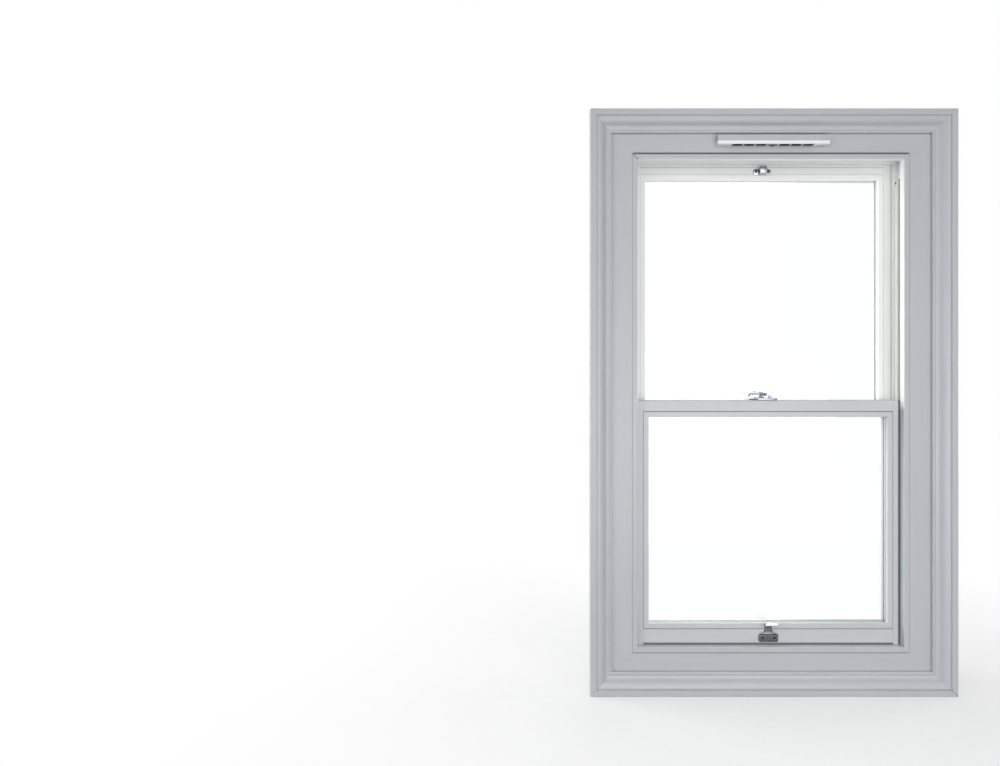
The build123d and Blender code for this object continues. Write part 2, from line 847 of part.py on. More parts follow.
# Shutter: slides along the cover's floor, with a tab down through the middle slot
shutter_low = vent_bottom + vent_wall
half_shutter = (vent_slots * vent_slot_pitch) / 2 + 6.0
shutter_half_width = vent_depth / 2 - vent_wall - shutter_gap
shutter = box(
    -half_shutter,
    half_shutter,
    slot_mid - shutter_half_width,
    slot_mid + shutter_half_width,
    shutter_low,
    shutter_low + shutter_thickness,
)
for i in range(vent_slots):
    if i == vent_slots // 2:
        continue
    window_x = (i - (vent_slots - 1) / 2) * vent_slot_pitch
    shutter -= box(
        window_x - shutter_window / 2,
        window_x + shutter_window / 2,
        slot_mid - vent_slot_depth / 2,
        slot_mid + vent_slot_depth / 2,
        shutter_low - 1,
        shutter_low + shutter_thickness + 1,
    )
tab = box(
    -tab_length / 2,
    tab_length / 2,
    slot_mid - tab_width / 2,
    slot_mid + tab_width / 2,
    vent_bottom - tab_drop + vent_wall,
    shutter_low + 0.5,
)
save("vent_slider", shutter + tab)

# Canopy over the ports on the outside face
half_canopy = canopy_length / 2
canopy_low = port_z - canopy_height / 2
canopy_high = port_z + canopy_height / 2
canopy = prism_x(
    [
        (frame_back, canopy_low + 4.0),
        (frame_back, canopy_high),
        (frame_back + 4.0, canopy_high),
        (frame_back + canopy_depth, canopy_low + 6.0),
        (frame_back + canopy_depth, canopy_low),
        (frame_back + canopy_depth - vent_wall, canopy_low),
        (frame_back + canopy_depth - vent_wall, canopy_low + 5.5),
        (frame_back + 3.2, canopy_high - vent_wall),
        (frame_back + vent_wall, canopy_high - vent_wall),
        (frame_back + vent_wall, canopy_low + 4.0),
    ],
    -half_canopy,
    half_canopy,
)
for port in ports:
    canopy -= Pos(0, vent_wall + 2, 0) * port & box(
        -half_canopy, half_canopy, frame_back - 1, frame_back + vent_wall + 0.5, canopy_low, canopy_high
    )
cheek_outline = [
    (frame_back, canopy_low + 4.0),
    (frame_back, canopy_high),
    (frame_back + 4.0, canopy_high),
    (frame_back + canopy_depth, canopy_low + 6.0),
    (frame_back + canopy_depth, canopy_low),
]
canopy += prism_x(cheek_outline, -half_canopy, -half_canopy + vent_wall)
canopy += prism_x(cheek_outline, half_canopy - vent_wall, half_canopy)
save("vent_canopy", canopy)

# Fastener base on the lower meeting rail: plate with rounded ends, coned boss, pivot and stop
plate_round = fastener_width / 2
plate = box(
    -fastener_length / 2 + plate_round,
    fastener_length / 2 - plate_round,
    lever_y - plate_round,
    lever_y + plate_round,
    meeting_rail_top,
    fastener_top,
)
for end in (-1, 1):
    end_x = end * (fastener_length / 2 - plate_round)
    plate += upright_rod(plate_round, end_x, lever_y, meeting_rail_top, fastener_top)
plate = chamfer(plate.faces().sort_by(Axis.Z)[-1].edges(), 1.5)
boss_top = fastener_top + boss_height
lever_low = boss_top + lever_gap
lever_high = lever_low + lever_thickness
plate += Pos(lever_x, lever_y, fastener_top - 1) * Cone(
    boss_radius, boss_top_radius, boss_height + 1, align=(Align.CENTER, Align.CENTER, Align.MIN)
)
plate += upright_rod(pivot_radius, lever_x, lever_y, boss_top - 1, lever_high + lever_gap + 0.5)
cap_low = lever_high + lever_gap
cap = upright_rod(lever_width / 2, lever_x, lever_y, cap_low, cap_low + cap_height)
plate += chamfer(cap.edges().sort_by(Axis.Z)[-1], 1.4)
stop = box(
    stop_offset - stop_width / 2,
    stop_offset + stop_width / 2,
    lever_y - stop_width / 2,
    lever_y + stop_width / 2,
    fastener_top - 1,
    fastener_top + stop_height,
)
plate += chamfer(stop.faces().sort_by(Axis.Z)[-1].edges(), 1.2)
for place in fastener_screw_places:
    plate -= place * small_hole
save("fastener_base", plate)

# Lever: bar that lies along the rail, with a downturned tip and a knob at its other end
tip_x = lever_x - lever_length
knob_x = lever_x + lever_tail - lever_width / 2
bar = box(
    tip_x + lever_width / 2,
    knob_x,
    lever_y - lever_width / 2,
    lever_y + lever_width / 2,
    lever_low,
    lever_high,
)
bar += upright_rod(lever_width / 2, tip_x + lever_width / 2, lever_y, lever_low, lever_high)
knob = upright_rod(lever_width / 2, knob_x, lever_y, lever_low - lever_tail_drop, lever_high)
bar += chamfer(knob.edges().sort_by(Axis.Z)[0], 1.0)
bar += upright_rod(lever_width / 2 + 1.5, lever_x, lever_y, lever_low, lever_high)
tip = upright_rod(lever_width / 2, tip_x + lever_width / 2, lever_y, lever_low - lever_tip_drop, lever_high)
tip &= box(
    tip_x - 1,
    tip_x + lever_tip_length,
    lever_y - lever_width,
    lever_y + lever_width,
    lever_low - lever_tip_drop,
    lever_high,
)
bar += tip
bar -= upright_rod(pivot_radius + pivot_gap, lever_x, lever_y, lever_low - 1, lever_high + 1)
save("fastener_lever", bar)

# Keeper on the upper meeting rail: foot with a hooded stop that the lever's bar turns under
keeper_half = keeper_depth / 2
hood_low = lever_high + keeper_clearance
keeper = box(
    keeper_x - keeper_foot_length / 2,
    keeper_x + keeper_foot_length / 2,
    keeper_y - keeper_half,
    keeper_y + keeper_half,
    meeting_rail_top,
    keeper_top,
)
keeper += box(
    keeper_left,
    keeper_right,
    keeper_y - keeper_half,
    keeper_y + keeper_half,
    meeting_rail_top,
    hood_low + keeper_lip,
)
keeper -= box(
    keeper_left - 1,
    keeper_right - keeper_wall,
    keeper_y - keeper_half - 1,
    keeper_y + keeper_half + 1,
    lever_low - lever_tip_drop - keeper_clearance,
    hood_low,
)
for place in keeper_screw_places:
    keeper -= place * small_hole
save("fastener_keeper", keeper)

# Hook lift on the bottom rail: screwed plate, tapered neck and a curl for the fingers
lift_face = lower_front - lift_plate_thickness
lift = box(
    -lift_plate_width / 2,
    lift_plate_width / 2,
    lift_face,
    lower_front,
    lift_plate_z - lift_plate_height / 2,
    lift_plate_z + lift_plate_height / 2,
)
lift = fillet(lift.edges().filter_by(Axis.Y), lift_corner)
neck_low = lift_plate_z + lift_plate_height / 2
neck_top = neck_low + lift_neck_height
neck_half = lift_neck_width / 2
shoulder_half = neck_half + 8.0
neck_wire = Wire(
    [
        Line((-shoulder_half, lift_face, neck_low - 3.0), (shoulder_half, lift_face, neck_low - 3.0)),
        Line((shoulder_half, lift_face, neck_low - 3.0), (shoulder_half, lift_face, neck_low)),
        ThreePointArc(
            (shoulder_half, lift_face, neck_low),
            (neck_half + 2.2, lift_face, neck_low + 3.6),
            (neck_half, lift_face, neck_low + 10.0),
        ),
        Line((neck_half, lift_face, neck_low + 10.0), (neck_half, lift_face, neck_top - 8.0)),
        Line((neck_half, lift_face, neck_top - 8.0), (-neck_half, lift_face, neck_top - 8.0)),
        Line((-neck_half, lift_face, neck_top - 8.0), (-neck_half, lift_face, neck_low + 10.0)),
        ThreePointArc(
            (-neck_half, lift_face, neck_low + 10.0),
            (-neck_half - 2.2, lift_face, neck_low + 3.6),
            (-shoulder_half, lift_face, neck_low),
        ),
        Line((-shoulder_half, lift_face, neck_low), (-shoulder_half, lift_face, neck_low - 3.0)),
    ]
)
lift += extrude(make_face(neck_wire), lift_plate_thickness, dir=(0, 1, 0))
curl_radius = lift_curl_radius
curl_centre_y = lower_front - curl_radius
curl_centre_z = neck_top - curl_radius
curl_inner = curl_radius - lift_plate_thickness
corner = math.sqrt(0.5)
hook_end = lower_front - lift_reach
hook_wire = Wire(
    [
        ThreePointArc(
            (lower_front, curl_centre_z),
            (curl_centre_y + curl_radius * corner, curl_centre_z + curl_radius * corner),
            (curl_centre_y, curl_centre_z + curl_radius),
        ),
        Line((curl_centre_y, curl_centre_z + curl_radius), (hook_end, curl_centre_z + curl_radius - 3.0)),
        Line((hook_end, curl_centre_z + curl_radius - 3.0), (hook_end, curl_centre_z + curl_radius - 6.0)),
        Line((hook_end, curl_centre_z + curl_radius - 6.0), (curl_centre_y, curl_centre_z + curl_inner)),
        ThreePointArc(
            (curl_centre_y, curl_centre_z + curl_inner),
            (curl_centre_y + curl_inner * corner, curl_centre_z + curl_inner * corner),
            (curl_centre_y + curl_inner, curl_centre_z),
        ),
        Line((curl_centre_y + curl_inner, curl_centre_z), (lower_front, curl_centre_z)),
    ]
)
hook = extrude(Plane.YZ.offset(-neck_half) * make_face(hook_wire), lift_neck_width, dir=(1, 0, 0))
lift += hook
for place in lift_screw_places:
    lift -= place * small_hole
save("hook_lift", lift)

# Sash pull on the upper sash's top rail: oval plate with an upturned tongue
pull_face = upper_front - pull_plate_thickness
oval = Ellipse(pull_plate_width / 2, pull_plate_height / 2)
pull = Pos(0, upper_front, pull_z) * (Rot(90, 0, 0) * extrude(oval, pull_plate_thickness))
tongue_low = pull_z - pull_plate_height / 2 + 1.0
tongue_outer = upper_front - pull_reach
tongue = [
    (pull_face + 1.0, tongue_low),
    (pull_face + 1.0, tongue_low + 5.0),
    (tongue_outer + 5.5, tongue_low + 7.0),
    (tongue_outer + 4.0, tongue_low + pull_rise),
    (tongue_outer, tongue_low + pull_rise),
    (tongue_outer, tongue_low + 4.0),
    (tongue_outer + 4.0, tongue_low),
]
pull += prism_x(tongue, -pull_tongue_width / 2, pull_tongue_width / 2)
for place in pull_screw_places:
    pull -= place * small_hole
save("sash_pull", pull)

save("lower_sash_screws", *[place * small_screw for place in fastener_screw_places + lift_screw_places])
save("upper_sash_screws", *[place * small_screw for place in keeper_screw_places + pull_screw_places])
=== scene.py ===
import bpy
import math
from mathutils import Matrix, Vector


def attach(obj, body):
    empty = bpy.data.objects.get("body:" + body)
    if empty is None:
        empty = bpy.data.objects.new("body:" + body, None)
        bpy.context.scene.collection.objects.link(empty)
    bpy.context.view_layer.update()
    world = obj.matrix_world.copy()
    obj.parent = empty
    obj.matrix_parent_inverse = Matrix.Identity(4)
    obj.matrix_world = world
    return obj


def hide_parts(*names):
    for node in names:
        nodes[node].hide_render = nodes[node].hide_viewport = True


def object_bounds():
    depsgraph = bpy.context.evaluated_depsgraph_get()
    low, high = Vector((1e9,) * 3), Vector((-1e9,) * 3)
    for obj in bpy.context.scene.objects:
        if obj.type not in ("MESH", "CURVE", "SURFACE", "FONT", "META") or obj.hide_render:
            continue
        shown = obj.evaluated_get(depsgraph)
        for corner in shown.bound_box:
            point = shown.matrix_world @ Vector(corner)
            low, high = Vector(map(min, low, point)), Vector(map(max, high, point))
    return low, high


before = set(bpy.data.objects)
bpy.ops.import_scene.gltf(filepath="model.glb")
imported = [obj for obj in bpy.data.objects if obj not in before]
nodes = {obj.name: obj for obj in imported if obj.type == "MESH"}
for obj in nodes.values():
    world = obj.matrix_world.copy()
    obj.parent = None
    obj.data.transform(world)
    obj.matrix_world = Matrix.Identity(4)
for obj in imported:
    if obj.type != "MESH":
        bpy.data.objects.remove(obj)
cad_box = [list(corner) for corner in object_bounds()]
bpy.ops.object.select_all(action="DESELECT")

# The box frame: a hardwood sill with two softwood jambs and a head, cut, glued and primed in a
# joinery shop and painted white by brush on site. Strokes run along each length, and painted shade
# darkens the corners.
jamb_white = (0.88, 0.89, 0.89, 1.0)
sill_white = (0.72, 0.73, 0.73, 1.0)
shade_and_line_dark = (0.050, 0.055, 0.062, 1.0)


def add(tree, kind, settings=None, **values):
    """One shader node, with its settings and its sockets' values or links."""
    made = tree.nodes.new("ShaderNode" + kind)
    for name, value in (settings or {}).items():
        setattr(made, name, value)
    for name, value in values.items():
        numbered = name[0] == "i" and name[1:].isdigit()
        socket = made.inputs[int(name[1:]) if numbered else name.replace("_", " ")]
        if isinstance(value, bpy.types.NodeSocket):
            tree.links.new(value, socket)
        else:
            socket.default_value = value
    return made


def ramp(tree, factor, low, high, shade_low, shade_high):
    """Shade that goes from one value to another as the factor goes from low to high."""
    made = add(tree, "MapRange", {"clamp": True}, i0=factor, i1=low, i2=high, i3=shade_low, i4=shade_high)
    return made.outputs[0]


def reckon(tree, operation, *numbers, clamp=False):
    """Result of one sum on numbers or sockets."""
    values = {f"i{order}": number for order, number in enumerate(numbers)}
    return add(tree, "Math", {"operation": operation, "use_clamp": clamp}, **values).outputs[0]


def blend(tree, share, first, second):
    """Colour mixed from two."""
    return add(tree, "Mix", {"data_type": "RGBA"}, i0=share, i6=first, i7=second).outputs[2]


def shaded(tree, colour, shade):
    """Colour made darker or lighter."""
    return add(tree, "VectorMath", {"operation": "SCALE"}, i0=colour, Scale=shade).outputs[0]


def noise(tree, place, scale, detail, roughness=0.5):
    """Cloudy pattern of one scale."""
    made = add(tree, "TexNoise", Vector=place, Scale=scale, Detail=detail, Roughness=roughness)
    return made.outputs[0]


def nook(tree, reach):
    """How open a spot lies: low in corners and near other pieces."""
    return add(tree, "AmbientOcclusion", {"samples": 6}, Distance=reach).outputs["AO"]


def blank_finish(name):
    """A new material, its nodes, its shader and the place on the piece."""
    made = bpy.data.materials.new(name)
    made.use_nodes = True
    tree = made.node_tree
    return made, tree, tree.nodes["Principled BSDF"], add(tree, "TexCoord").outputs["Object"]


def relief(tree, shader, edge_radius, *layers):
    """Eased edges and bumps, each bump given by its strength, its height and its pattern."""
    normal = add(tree, "Bevel", {"samples": 4}, Radius=edge_radius).outputs[0]
    for strength, height, pattern in layers:
        bump = add(tree, "Bump", Strength=strength, Distance=height, Height=pattern, Normal=normal)
        normal = bump.outputs[0]
    tree.links.new(normal, shader.inputs["Normal"])


def crease(tree, place, normal, offset, half_width, depth, centre=None, reach=0.0):
    """Strength of a painted thin line across one direction, all along or only near a centre."""
    along = add(tree, "VectorMath", {"operation": "DOT_PRODUCT"}, i0=place, i1=normal).outputs["Value"]
    away = reckon(tree, "ABSOLUTE", reckon(tree, "SUBTRACT", along, offset))
    line = ramp(tree, away, half_width * 0.5, half_width, depth, 0.0)
    if centre:
        gap = add(tree, "VectorMath", {"operation": "DISTANCE"}, i0=place, i1=centre).outputs["Value"]
        line = reckon(tree, "MULTIPLY", line, ramp(tree, gap, reach * 0.97, reach, 1.0, 0.0))
    return line


def brushed_paint(name, colour, run, gloss=0.36, corner_shade=0.3, creases=(), daylit_bands=()):
    """White satin paint: brush strokes along one axis, painted shade in corners, painted dark lines and
    bands of painted daylight.
    """
    paint, tree, shader, place = blank_finish(name)
    stroke_scale = tuple(9.0 if axis == run else 520.0 for axis in "XYZ")
    strokes_at = add(tree, "Mapping", Vector=place, Scale=stroke_scale).outputs[0]
    strokes = noise(tree, strokes_at, 1.0, 3.0, 0.6)
    swell_scale = tuple(3.0 if axis == run else 26.0 for axis in "XYZ")
    swell_at = add(tree, "Mapping", Vector=place, Scale=swell_scale).outputs[0]
    blotches = noise(tree, swell_at, 1.0, 5.0, 0.55)
    nibs = noise(tree, place, 900.0, 1.0)
    smears = noise(tree, place, 38.0, 6.0, 0.7)
    # Painted shade darkens corners and spots near other pieces, and the painted lines are laid over it.
    shade_and_lines = ramp(tree, nook(tree, 0.003), 0.42, 0.86, 1.0, 0.0)
    shade_and_lines = reckon(tree, "MULTIPLY", shade_and_lines, ramp(tree, smears, 0.30, 0.75, 0.75, 1.15))
    shade_and_lines = reckon(tree, "MULTIPLY", shade_and_lines, corner_shade, clamp=True)
    for line in creases:
        shade_and_lines = reckon(tree, "MAXIMUM", shade_and_lines, crease(tree, place, *line))
    tone = ramp(tree, blotches, 0.3, 0.7, 0.972, 1.018)
    streak = ramp(tree, strokes, 0.3, 0.7, 0.988, 1.010)
    tinted = shaded(tree, colour[:3], reckon(tree, "MULTIPLY", tone, streak))
    # Bands of painted daylight lighten the edges given here.
    for band in daylit_bands:
        tinted = blend(tree, crease(tree, place, *band), tinted, jamb_white)
    tree.links.new(blend(tree, shade_and_lines, tinted, shade_and_line_dark), shader.inputs["Base Color"])
    patchy = ramp(tree, blotches, 0.25, 0.75, gloss - 0.05, gloss + 0.07)
    tree.links.new(reckon(tree, "MULTIPLY_ADD", shade_and_lines, 0.4, patchy), shader.inputs["Roughness"])
    relief(tree, shader, 0.0008, (0.22, 0.00035, strokes), (0.06, 0.0002, nibs))
    return paint


def dress(material, *names):
    """Give CAD nodes a finish through their own slots."""
    for name in names:
        nodes[name].material_slots[0].material = material


jamb_upright = brushed_paint("jamb_paint_upright", jamb_white, "Z", corner_shade=0.12)
head_level = brushed_paint("head_paint_level", jamb_white, "X", corner_shade=0.12)
sill_level = brushed_paint("sill_paint_level", sill_white, "X", gloss=0.42, corner_shade=0.5)
dress(jamb_upright, "jamb_left", "jamb_right")
dress(head_level, "head")
dress(sill_level, "sill")

# The room-side linings: four flat boards that cover the frame's edge between the reveal and the
# architrave, nailed, filled and painted in place. They stand in shade, so their white is written
# greyer than the frame's, and a painted dark line marks the joint with the beads.
shaded_trim_white = (0.50, 0.52, 0.545, 1.0)
reveal_x = 0.355
sill_top = 0.070
soffit = 1.349
lining_face = -0.0975
joint_reach = 0.360
across = (1.0, 0.0, 0.0)
up = (0.0, 0.0, 1.0)
both_sides = (-1, 1)
upright_joints = [(across, side * reveal_x, 0.0009, 0.45) for side in both_sides]
level_joints = [
    (up, height, half_width, depth, (0.0, lining_face, height), joint_reach)
    for height, half_width, depth in ((soffit, 0.0030, 0.9), (sill_top, 0.0016, 0.6))
]
lining_upright = brushed_paint("lining_paint_upright", shaded_trim_white, "Z", creases=upright_joints)
lining_level = brushed_paint("lining_paint_level", shaded_trim_white, "X", creases=level_joints)
dress(lining_upright, "lining_left", "lining_right")
dress(lining_level, "lining_top", "lining_bottom")

# The picture-frame architrave: four lengths of moulded softwood, mitred and nailed round the
# linings. A hairline crack along the mitre at the lower right and one dirt mark are painted on.
half_root = math.sqrt(0.5)
mitre = (half_root, 0.0, half_root)
fillet_face = -0.119
crack_place = (0.457, fillet_face, -0.024)
crack_offset = (crack_place[0] + crack_place[2]) * half_root
cracked_mitre = (mitre, crack_offset, 0.0007, 0.8, crack_place, 0.013)
mark_place = (-0.254, fillet_face, 0.0205)
dirt_mark = (up, mark_place[2], 0.0016, 0.75, mark_place, 0.0035)
# The architrave takes the linings' white, written greyer as painted shade.
moulding_upright = brushed_paint("moulding_paint_upright", shaded_trim_white, "Z", creases=[cracked_mitre])
level_marks = [cracked_mitre, dirt_mark]
moulding_level = brushed_paint("moulding_paint_level", shaded_trim_white, "X", creases=level_marks)
dress(moulding_upright, "architrave_left", "architrave_right")
dress(moulding_level, "architrave_top", "architrave_bottom")

# The beads: narrow square lengths that guide the sashes. The staff beads are mitred at the
# corners. The open mitre at the upper left is a painted line, and so is the light tone that
# daylight gives their inner edges.
bead_edge = 0.341
top_bead_low = 1.335
bottom_bead_top = 0.084
open_corner = (-0.348, lining_face, 1.342)
open_offset = (open_corner[0] + open_corner[2]) * half_root
open_mitre = (mitre, open_offset, 0.0012, 0.95, open_corner, 0.012)
lit_height = 1.06
lit_reach = 0.37
upright_edges = [
    (across, side * bead_edge, 0.0008, 1.0, (side * bead_edge, lining_face, lit_height), lit_reach)
    for side in both_sides
]
level_edges = [(up, top_bead_low, 0.0008, 1.0), (up, bottom_bead_top, 0.0008, 0.4)]
upright_marks = upright_joints + [open_mitre]
level_marks = level_joints + [open_mitre]
# The staff beads take the same white, written greyer as painted shade.
bead_upright = brushed_paint(
    "bead_paint_upright", shaded_trim_white, "Z", creases=upright_marks, daylit_bands=upright_edges
)
bead_level = brushed_paint(
    "bead_paint_level", shaded_trim_white, "X", creases=level_marks, daylit_bands=level_edges
)
dress(bead_upright, "staff_bead_left", "staff_bead_right")
dress(bead_level, "staff_bead_top", "staff_bead_bottom")
# The parting beads are written whiter than the frame, as painted daylight in their deep slot.
parting_daylit_white = (0.97, 0.97, 0.96, 1.0)
parting_upright = brushed_paint("parting_bead_paint_upright", parting_daylit_white, "Z", corner_shade=0.0)
parting_level = brushed_paint("parting_bead_paint_level", parting_daylit_white, "X", corner_shade=0.0)
dress(parting_upright, "parting_bead_left", "parting_bead_right")
dress(parting_level, "parting_bead_top")

# The sashes: softwood stiles and rails with mortice and tenon joints, glued, sanded and painted.
# The lower one stands in shade and is written greyer. Painted lines mark where beads and frame
# meet them, and wider lines of painted shadow from the staff beads cross the lower sash's right
# stile and bottom rail.
bead_joint = 0.3226
upper_stile_line = 0.3418
upper_bead_line = 1.3135
upper_rail_line = 1.3325
lower_stile_shadow = 0.3388
lower_bead_high = 0.6873
lower_bead_low = 0.1250
lower_rail_shadow = 0.0864
sash_looks = {
    "upper": {
        "white": (0.87, 0.88, 0.87, 1.0),
        "corner_shade": 0.15,
        "upright_lines": [(across, side * bead_joint, 0.0009, 0.22) for side in both_sides]
        + [(across, side * upper_stile_line, 0.0014, 0.32) for side in both_sides],
        "level_lines": [(up, upper_bead_line, 0.0009, 0.22), (up, upper_rail_line, 0.0014, 0.32)],
        "main_rail": "upper_top_rail",
    },
    "lower": {
        "white": (0.55, 0.575, 0.595, 1.0),
        "corner_shade": 0.3,
        "upright_lines": [(across, side * bead_joint, 0.0012, 0.45) for side in both_sides]
        + [(across, lower_stile_shadow, 0.0036, 0.85)],
        "level_lines": [
            (up, lower_bead_high, 0.0014, 0.7),
            (up, lower_bead_low, 0.0014, 0.6),
            (up, lower_rail_shadow, 0.0038, 0.85),
        ],
        "main_rail": "lower_bottom_rail",
    },
}
for sash, look in sash_looks.items():
    white = look["white"]
    corner_shade = look["corner_shade"]
    lines = look["upright_lines"]
    sash_upright = brushed_paint(f"{sash}_sash_paint_upright", white, "Z", corner_shade=corner_shade, creases=lines)
    lines = look["level_lines"]
    sash_level = brushed_paint(f"{sash}_sash_paint_level", white, "X", corner_shade=corner_shade, creases=lines)
    dress(sash_upright, f"{sash}_stile_left", f"{sash}_stile_right")
    dress(sash_upright, f"{sash}_glazing_bead_left", f"{sash}_glazing_bead_right")
    dress(sash_level, look["main_rail"], f"{sash}_meeting_rail", f"{sash}_glazing_bead_top")
dress(sash_level, "lower_glazing_bead_bottom")

# The double glazing: two panes of clear float glass, sealed round a hollow aluminium spacer and
# stood on plastic setting blocks. Lamps reach through it.
float_glass, tree, pane, place = blank_finish("clear_float_glass")
pane.inputs["Base Color"].default_value = (0.995, 1.0, 0.998, 1.0)
pane.inputs["Transmission Weight"].default_value = 1.0
pane.inputs["IOR"].default_value = 1.5
film = noise(tree, place, 7.0, 6.0, 0.65)
tree.links.new(ramp(tree, film, 0.35, 0.8, 0.0, 0.02), pane.inputs["Roughness"])
clear = add(tree, "BsdfTransparent", Color=(0.96, 0.98, 0.97, 1.0))
lamps = add(tree, "LightPath").outputs["Is Shadow Ray"]
through = add(tree, "MixShader", i0=lamps, i1=pane.outputs[0], i2=clear.outputs[0])
tree.links.new(through.outputs[0], tree.nodes["Material Output"].inputs["Surface"])
spacer_grey = (0.74, 0.75, 0.76, 1.0)
setting_black = (0.045, 0.045, 0.045, 1.0)


def metal(name, colour, gloss, scratch_scale, scratch_depth, stretch=(1.0, 1.0, 1.0), painted_highlight=None):
    """Metal with scratches, smudges and painted shade in corners, and if given a painted highlight on its
    front part.
    """
    made, tree, shader, place = blank_finish(name)
    shader.inputs["Metallic"].default_value = 1.0
    scratches_at = add(tree, "Mapping", Vector=place, Scale=stretch).outputs[0]
    scratches = noise(tree, scratches_at, scratch_scale, 4.0, 0.7)
    smudges = noise(tree, place, 160.0, 4.0, 0.6)
    dull = ramp(tree, smudges, 0.35, 0.75, 0.86, 1.04)
    # Painted shade darkens the metal in corners and near other pieces.
    metal_corner_shade = ramp(tree, nook(tree, 0.004), 0.30, 0.92, 0.18, 1.0)
    tinted = shaded(tree, colour[:3], reckon(tree, "MULTIPLY", dull, metal_corner_shade))
    # A painted highlight lightens the front part.
    if painted_highlight:
        bright_front, dull_back, bright = painted_highlight
        depth = add(tree, "SeparateXYZ", Vector=place).outputs["Y"]
        highlight_share = ramp(tree, depth, bright_front, dull_back, 1.0, 0.0)
        tinted = blend(tree, highlight_share, tinted, (bright, bright, bright, 1.0))
    tree.links.new(tinted, shader.inputs["Base Color"])
    tree.links.new(ramp(tree, smudges, 0.3, 0.8, gloss, gloss + 0.14), shader.inputs["Roughness"])
    relief(tree, shader, 0.0005, (scratch_depth, 0.0001, scratches))
    return made


def moulded_plastic(name, colour, gloss, grain_scale, marks=None):
    """Moulded plastic: fine grain, a faint flow in its tone, painted shade in corners, and marks if
    given.
    """
    made, tree, shader, place = blank_finish(name)
    grain = noise(tree, place, grain_scale, 2.0)
    flow = noise(tree, place, 24.0, 3.0)
    tone = ramp(tree, flow, 0.3, 0.7, 0.96, 1.02)
    plastic_corner_shade = ramp(tree, nook(tree, 0.005), 0.3, 0.9, 0.62, 1.0)
    base = marks(tree, place, colour) if marks else colour[:3]
    tinted = shaded(tree, base, reckon(tree, "MULTIPLY", tone, plastic_corner_shade))
    tree.links.new(tinted, shader.inputs["Base Color"])
    tree.links.new(ramp(tree, flow, 0.3, 0.7, gloss - 0.04, gloss + 0.05), shader.inputs["Roughness"])
    relief(tree, shader, 0.0004, (0.2, 0.0001, grain))
    return made


spacer_metal = metal("spacer_aluminium", spacer_grey, 0.34, 900.0, 0.25)
setting_plastic = moulded_plastic("setting_block_plastic", setting_black, 0.6, 800.0)
for sash in sash_looks:
    dress(float_glass, f"{sash}_pane_inner", f"{sash}_pane_outer")
    dress(spacer_metal, f"{sash}_spacer_bars")
    dress(setting_plastic, f"{sash}_setting_blocks")

# The spiral balances: a white plastic tube in each track with a twisted steel rod inside. The rod
# turns in a slotted nylon bush, and its foot is screwed to the stile.
tube_white = moulded_plastic("balance_tube_plastic", (0.62, 0.62, 0.59, 1.0), 0.32, 1400.0)
bush_nylon = moulded_plastic("balance_bush_nylon", (0.60, 0.58, 0.52, 1.0), 0.45, 900.0)
steel_grey = (0.42, 0.43, 0.44, 1.0)
drawn_along = (1.0, 1.0, 0.12)
rod_steel = metal("balance_rod_steel", steel_grey, 0.30, 700.0, 0.3, stretch=drawn_along)
dress(tube_white, "balance_tubes")
for sash in sash_looks:
    dress(rod_steel, f"{sash}_balance_rods")
    dress(bush_nylon, f"{sash}_balance_bush_left", f"{sash}_balance_bush_right")

# The fastener on the lower meeting rail: a cast base with a coned boss, a riveted pivot and a stop
# block, and a cast lever that turns on it. Both are chrome plated, and written darker than bright
# chrome as a painted dark reflection of a dim room.
fastener_y = -0.0575
base_top = 0.722
pivot_x = -0.011


def edit(select, *steps):
    """Choose faces, edges or points of the active piece by a test, then run edit-mode steps."""
    piece = bpy.context.object
    kind, test = select
    bpy.ops.object.mode_set(mode="EDIT")
    bpy.ops.mesh.select_all(action="DESELECT")
    bpy.ops.mesh.select_mode(type=kind)
    bpy.ops.object.mode_set(mode="OBJECT")
    mesh = piece.data
    place = piece.matrix_world
    if kind == "FACE":
        for face in mesh.polygons:
            face.select = test(place @ face.center, (place.to_3x3() @ face.normal).normalized())
    elif kind == "EDGE":
        for edge in mesh.edges:
            ends = [place @ mesh.vertices[end].co for end in edge.vertices]
            edge.select = test((ends[0] + ends[1]) / 2, (ends[1] - ends[0]).normalized())
    else:
        for point in mesh.vertices:
            point.select = test(place @ point.co, None)
    bpy.ops.object.mode_set(mode="EDIT")
    for step in steps:
        step()
    bpy.ops.object.mode_set(mode="OBJECT")


def push(*offset):
    """Edit-mode step that moves the chosen part."""
    return lambda: bpy.ops.transform.translate(value=offset)


def draw_out(*offset):
    """Edit-mode step that extrudes the chosen face."""
    return lambda: bpy.ops.mesh.extrude_region_move(TRANSFORM_OT_translate={"value": offset})


def spread(size, centre):
    """Edit-mode step that scales the chosen part about a point."""
    return lambda: bpy.ops.transform.resize(value=size, center_override=centre)


def settle(name, *others):
    """Join pieces into one, name it and put its place into its mesh."""
    piece = bpy.context.object
    bpy.ops.object.select_all(action="DESELECT")
    for other in others:
        other.select_set(True)
    piece.select_set(True)
    bpy.context.view_layer.objects.active = piece
    if others:
        bpy.ops.object.join()
    piece.name = name
    bpy.ops.object.transform_apply(location=True, rotation=True, scale=True)
    return piece


def ease(width):
    """Rounded edges, as a modifier that is applied."""
    piece = bpy.context.object
    rounded = piece.modifiers.new("rounded_edges", "BEVEL")
    rounded.width = width
    rounded.segments = 3
    rounded.limit_method = "ANGLE"
    rounded.angle_limit = math.radians(30)
    bpy.ops.object.modifier_apply(modifier=rounded.name)


def smooth():
    """Smooth shading over all but the sharp edges."""
    bpy.ops.object.shade_smooth_by_angle(angle=math.radians(35))


